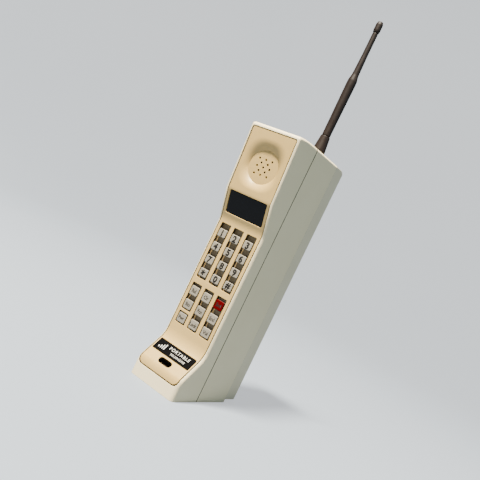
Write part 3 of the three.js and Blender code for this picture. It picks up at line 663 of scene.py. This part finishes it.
def ear_bowl():
    """The dish around the ear holes: a soft lip, a hollow wall and the edge of a round flat floor."""
    rings = []
    inner, outer = EAR_FLOOR(0.0), RIM(DISH["lip"])
    for step in range(DISH["levels"] + 1):
        t = step / DISH["levels"]
        depth = SKIN[0] + (DISH["floor"] - SKIN[0]) * t ** DISH["hollow"]
        rings.append([(a * (1 - t) + c * t, b * (1 - t) + d * t, depth)
                      for (a, b), (c, d) in zip(outer, inner)])
    for growth in (0.0, DISH["back_growth"]):
        rings.append([(x, y, DISH["back"]) for x, y in EAR_FLOOR(growth)])
    rings.append([(x, y, SKIN[1]) for x, y in outer])
    return rings_shape(rings, caps=False)


def ear_floor():
    holes = []
    pitch = EAR_HOLES["pitch"]
    for row, count in enumerate(EAR_HOLES["rows"]):
        for place in range(count):
            x, y = (place - (count - 1) / 2) * 2 * pitch, (row - 2) * pitch
            holes.append(circle_loop(x, y, EAR_HOLES["radius"], EAR_HOLES["count"]))
    floor = plate(EAR_FLOOR, holes, DISH["floor"], DISH["back"], bevel=0.12, back_bevel=0.05, steps=2)
    return floor.placed(on_face(EAR))


def opening(piece, y=0, steps=6):
    """The outline of a piece or opening that is centred across the face."""
    return rounded_loop(0, y, *piece["size"], piece["corner"], steps=steps)


def front_panel():
    low, high = place_of(PANEL["low"]), place_of(PANEL["high"])
    keypad = place_of(60.0) - 60.0
    outline = rounded_loop(0, (low + high) / 2, 2 * PANEL["half"], high - low, PANEL["low_corner"],
                           PANEL["high_corner"], steps=8)
    holes = []
    wells = []
    for column, bottom, top in WELLS:
        size = (2 * WELL_HALF, top - bottom)
        x, middle = column * PITCH_X, (bottom + top) / 2
        wells.append(rounded_loop(x, middle, *size, WELL_CORNER, steps=4))
        holes.append(rounded_loop(x, middle + keypad, *size, WELL_CORNER, steps=4))
    chin, display, ear, mouth = (place_of(p[1]) for p in (CHIN, DISPLAY, EAR, MOUTH))
    holes.append(opening(NAMEPLATE_OPENING, chin, 4))
    holes.append(opening(LENS_OPENING, display, 4))
    holes.append(opening(MOUTH_SLOT, mouth, 8))
    levels = [s for s in ALONG[:-1] if low < s < high]

    def rim(_):
        return [(x, y + ear) for x, y in RIM(DISH["lip"])]

    def flat(u, v, depth):
        return (u, KEYPAD_Y + depth, v)

    skin = plate(outline, holes, *SKIN, bevel=0.3, steps=3, bare=[rim])
    skin.join(ear_bowl().placed(lambda x, y, depth: (x, y + ear, depth)))
    shape = bent(skin, levels)
    middle = (BLOCK["low"] + BLOCK["high"]) / 2
    body = rounded_loop(0, middle, 2 * BLOCK["half"], BLOCK["high"] - BLOCK["low"], 0.8, steps=2)
    shape.join(plate(body, wells, SKIN[1], WELL_DEPTH, bevel=0.001, back_bevel=0.001, steps=1).placed(flat))
    stems = [rounded_loop(x, z, *STEM_HOLE["size"], STEM_HOLE["corner"], steps=2)
             for _, _, x, z, _ in key_places()]
    shape.join(plate(body, stems, WELL_DEPTH, BLOCK["back"], bevel=0.05, steps=1).placed(flat))
    backing = plate(opening(NAMEPLATE_BACKING), [], *NAMEPLATE_BACKING["depth"], bevel=0.05, steps=1)
    shape.join(backing.placed(on_face(CHIN)))
    shape.join(ear_floor())
    mesh = shape.mesh("front_panel_finish")
    add_piece("front_panel_finish", mesh, MATERIALS["panel_beige"], "phone", ["front_panel"],
              angle=32.0)
    paint_faces(mesh, front_panel_paint, PANEL_PAINTS)


# ---------- keys and print ----------
def print_text(name, text, size, matrix, ink, body, weight=0.0, spacing=1.0, squeeze=1.0):
    """Raised print: letters a few hundredths of a millimetre thick."""
    drawn = bpy.data.curves.new(name, "FONT")
    drawn.body = text
    drawn.size = size * MM
    drawn.align_x = "CENTER"
    drawn.align_y = "CENTER"
    drawn.extrude = PRINT_THICKNESS * MM
    drawn.offset = weight * MM
    drawn.space_character = spacing
    drawn.resolution_u = 4
    holder = bpy.data.objects.new(name + "_holder", drawn)
    bpy.context.scene.collection.objects.link(holder)
    bpy.context.view_layer.update()
    mesh = bpy.data.meshes.new_from_object(holder.evaluated_get(bpy.context.evaluated_depsgraph_get()))
    bpy.data.objects.remove(holder)
    points = [v.co for v in mesh.vertices]
    centre_x = (min(p.x for p in points) + max(p.x for p in points)) / 2
    centre_y = (min(p.y for p in points) + max(p.y for p in points)) / 2
    mesh.transform(Matrix.Translation((-centre_x, -centre_y, 0)))
    mesh.transform(matrix @ Matrix.Diagonal((squeeze, 1, 1, 1)))
    work = bmesh.new()
    work.from_mesh(mesh)
    bmesh.ops.remove_doubles(work, verts=work.verts, dist=1e-7)
    work.to_mesh(mesh)
    work.free()
    add_piece(name, mesh, ink, body)


def add_legend(node, label, x, z):
    """A number or a short word on a key, printed on the cap's face."""
    spot = Matrix.Translation(Vector((x, KEYPAD_Y - KEY_PRINT_RAISED, z)) * MM)
    spot = spot @ Matrix.Rotation(math.pi / 2, 4, "X")
    if len(label) > 1:
        look, ink = WORD_PRINT, DARK_INK if node == "key_send" else GREY_INK
    else:
        look, ink = STAR_PRINT if label == "*" else DIGIT_PRINT, DARK_INK
    print_text(node + "_legend", label, look["size"], spot, ink, node + "_body", weight=look["weight"],
               squeeze=look.get("squeeze", 1.0))


def add_keys():
    for node, label, x, z, size in key_places():
        slot = "key_red" if node == "key_send" else "key_grey"
        cap = plate(rounded_loop(0, 0, *size, KEY_CAP["corner"], steps=5), [], *KEY_CAP["depth"], bevel=0.5,
                    back_bevel=0.15, steps=4)
        cap.join(plate(opening(KEY_STEM, steps=2), [], *KEY_STEM["depth"], bevel=0.05, steps=1))
        cap.placed(lambda u, v, depth, x=x, z=z: (x + u, KEYPAD_Y + depth, z + v))
        mesh = cap.mesh(node)
        add_piece(node + "_finish", mesh, MATERIALS[slot], node + "_body", [node])
        # The cap's sides, behind its face, take painted shade.
        paint_faces(mesh, lambda x, y, z: 1 if y > KEYPAD_Y + KEY_SKIRT_DEPTH else 0, [KEY_SKIRT_PAINTED_SHADE])
        add_legend(node, label, x, z)


# ---------- window, nameplate ----------
def add_face_pieces():
    lens = plate(opening(LENS), [], *LENS["depth"], bevel=0.25, steps=4)
    add_piece("display_lens_finish", lens.placed(on_face(DISPLAY)).mesh("lens"),
              MATERIALS["display_window"], "phone", ["display_lens"])
    name = plate(opening(NAMEPLATE), [], *NAMEPLATE["depth"], bevel=0.1, back_bevel=0.05, steps=3)
    add_piece("nameplate_finish", name.placed(on_face(CHIN)).mesh("nameplate"),
              MATERIALS["nameplate_black"], "phone", ["nameplate"])
    for row, (text, size, x, up, spacing) in enumerate(NAMEPLATE_LINES):
        print_text(f"nameplate_line_{row + 1}", text, size, face_matrix(CHIN, x, up, NAMEPLATE_PRINT_RAISED),
                   PALE_INK, "phone", spacing=spacing)
    for place, tall in enumerate(NAMEPLATE_BARS["heights"]):
        x = NAMEPLATE_BARS["left"] + place * NAMEPLATE_BARS["pitch"]
        outline = rounded_loop(x, NAMEPLATE_BARS["foot"] + tall / 2, NAMEPLATE_BARS["width"], tall,
                               NAMEPLATE_BARS["corner"], steps=3)
        bar = plate(outline, [], *NAMEPLATE_BARS["depth"], bevel=0.02, back_bevel=0.01, steps=1)
        add_piece(f"nameplate_bar_{place + 1}", bar.placed(on_face(CHIN)).mesh("bar"), PALE_INK, "phone")


# ---------- antenna ----------
def on_antenna(x, y, z):
    return (x + ANTENNA_AXIS[0], y + ANTENNA_AXIS[1], z + HEIGHT)


def add_antenna():
    for node, radius, profile in ANTENNA_PIECES:
        mesh = rings_shape(turned_rings(eased(profile, radius))).placed(on_antenna).mesh(node)
        add_piece(node + "_finish", mesh, MATERIALS["antenna_rubber"], frame["nodes"][node]["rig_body"], [node],
                  angle=TURNED_SHARP)
    seal = rings_shape(turned_rings(ANTENNA_SEAL), closed=True).placed(on_antenna)
    add_piece("antenna_seal_finish", seal.mesh("seal"), MATERIALS["rubber_black"], "antenna_seal_body",
              ["antenna_seal"], angle=TURNED_SHARP)


# ---------- everything else comes from the frame, with rounded edges ----------
# The microphone and its boot are near black all over: painted shade behind the mouth slot.
PAINTS = {"microphone": lambda x, y, z: 1, "microphone_boot": lambda x, y, z: 1,
          "front_housing": front_housing_paint, "rear_housing": rear_housing_paint,
          "battery_case": battery_case_paint}


def add_frame_pieces():
    done = {"front_panel", "display_lens", "nameplate", "antenna_base", "antenna_whip", "antenna_tip",
            "antenna_seal"}
    for part in frame["record"]["subparts"]:
        node, slot = part["node"], part["material_slot"]
        if node in done or node.startswith("key_"):
            continue
        refined(node, slot, EDGE_BEVELS.get(node, EDGE_BEVEL))


# ---------- floor, light and camera ----------
# How brightly the floor shows to the camera alone, so that it looks pale without lighting the piece.
FLOOR_GLOW = 0.68
FLOOR_COLOURS = [(0.125, 0.15, 0.185), (0.11, 0.135, 0.17)]
# The floor in metres: a flat round, a rising bend and a wall.
FLOOR = {"flat": 0.9, "bend": 1.1, "top": 2.4, "steps": 16, "count": 96}
# Lamps: name, place and width in metres, watts and colour. All of them point at LIT_PLACE.
LIT_PLACE = (0, 0, 0.13)
LAMPS = [("key", (-0.12, -0.66, 1.6), 0.24, 225.0, (1.0, 0.93, 0.78)),
         ("side_fill", (1.0, 0.1, 0.85), 0.6, 2.7, (0.36, 0.74, 1.0)),
         ("top", (-0.1, 0.3, 1.7), 0.6, 4.0, (1, 1, 1))]
SKY = {"colour": (0.70, 0.86, 1.0, 1), "strength": 0.14}
# The camera at the photo's viewing angle: its place in metres, its focal length in mm, and in degrees how far
# it is turned about the vertical, tilted from the level and rolled about its line of sight.
CAMERA = {"place": (0.25106, -0.40195, 0.13153), "lens": 45.59, "turn": 33.398, "tilt": -1.048, "roll": 25.771}


def add_stage():
    """A pale floor that bends up into a wall all round."""
    pale, nodes, links = new_material("pale_floor")
    shader = nodes["Principled BSDF"]
    cloud = ranged(nodes, links, noise(nodes, links, 1.2, 2.0), 0.0, 1.0)
    links.new(mixed(nodes, links, cloud, *FLOOR_COLOURS), shader.inputs["Base Color"])
    shader.inputs["Roughness"].default_value = 0.7
    shader.inputs["Emission Color"].default_value = (0.95, 0.97, 1.0, 1)
    path = nodes.new("ShaderNodeLightPath")
    glow = ranged(nodes, links, path.outputs["Is Camera Ray"], 0.0, FLOOR_GLOW, 0.0, 1.0)
    links.new(glow, shader.inputs["Emission Strength"])
    flat, bend = FLOOR["flat"], FLOOR["bend"]
    profile = [(0.001, 0.0), (flat, 0.0)]
    for step in range(1, FLOOR["steps"] + 1):
        angle = math.pi / 2 * step / FLOOR["steps"]
        profile.append((flat + bend * math.sin(angle), bend * (1 - math.cos(angle))))
    profile.append((flat + bend, FLOOR["top"]))
    rings = turned_rings([(radius / MM, height / MM) for radius, height in profile], FLOOR["count"])
    shape = rings_shape(rings, caps=False)
    mesh = shape.mesh("floor")
    mesh.materials.append(pale)
    mesh.shade_smooth()
    floor = bpy.data.objects.new("floor", mesh)
    bpy.context.scene.collection.objects.link(floor)


def add_lamp(name, place, size, power, colour):
    lamp = bpy.data.lights.new(name, "AREA")
    lamp.shape = "DISK"
    lamp.size = size
    lamp.energy = power
    lamp.color = colour
    holder = bpy.data.objects.new(name, lamp)
    holder.location = place
    holder.rotation_mode = "QUATERNION"
    holder.rotation_quaternion = (Vector(LIT_PLACE) - Vector(place)).to_track_quat("-Z", "Y")
    bpy.context.scene.collection.objects.link(holder)


def add_light():
    for lamp in LAMPS:
        add_lamp(*lamp)
    world = bpy.data.worlds.new("studio")
    world.use_nodes = True
    world.node_tree.nodes["Background"].inputs["Color"].default_value = SKY["colour"]
    world.node_tree.nodes["Background"].inputs["Strength"].default_value = SKY["strength"]
    bpy.context.scene.world = world


def add_camera():
    data = bpy.data.cameras.new("camera")
    data.lens = CAMERA["lens"]
    data.sensor_width = 36.0
    data.clip_start = 0.01
    data.clip_end = 50.0
    camera = bpy.data.objects.new("camera", data)
    turn, tilt, roll = (math.radians(CAMERA[angle]) for angle in ("turn", "tilt", "roll"))
    upright = Matrix.Rotation(turn, 4, "Z") @ Matrix.Rotation(math.pi / 2 + tilt, 4, "X")
    camera.matrix_world = Matrix.Translation(CAMERA["place"]) @ upright @ Matrix.Rotation(roll, 4, "Z")
    bpy.context.scene.collection.objects.link(camera)
    bpy.context.scene.camera = camera


front_panel()
add_keys()
add_face_pieces()
add_antenna()
add_frame_pieces()
add_stage()
add_light()
add_camera()
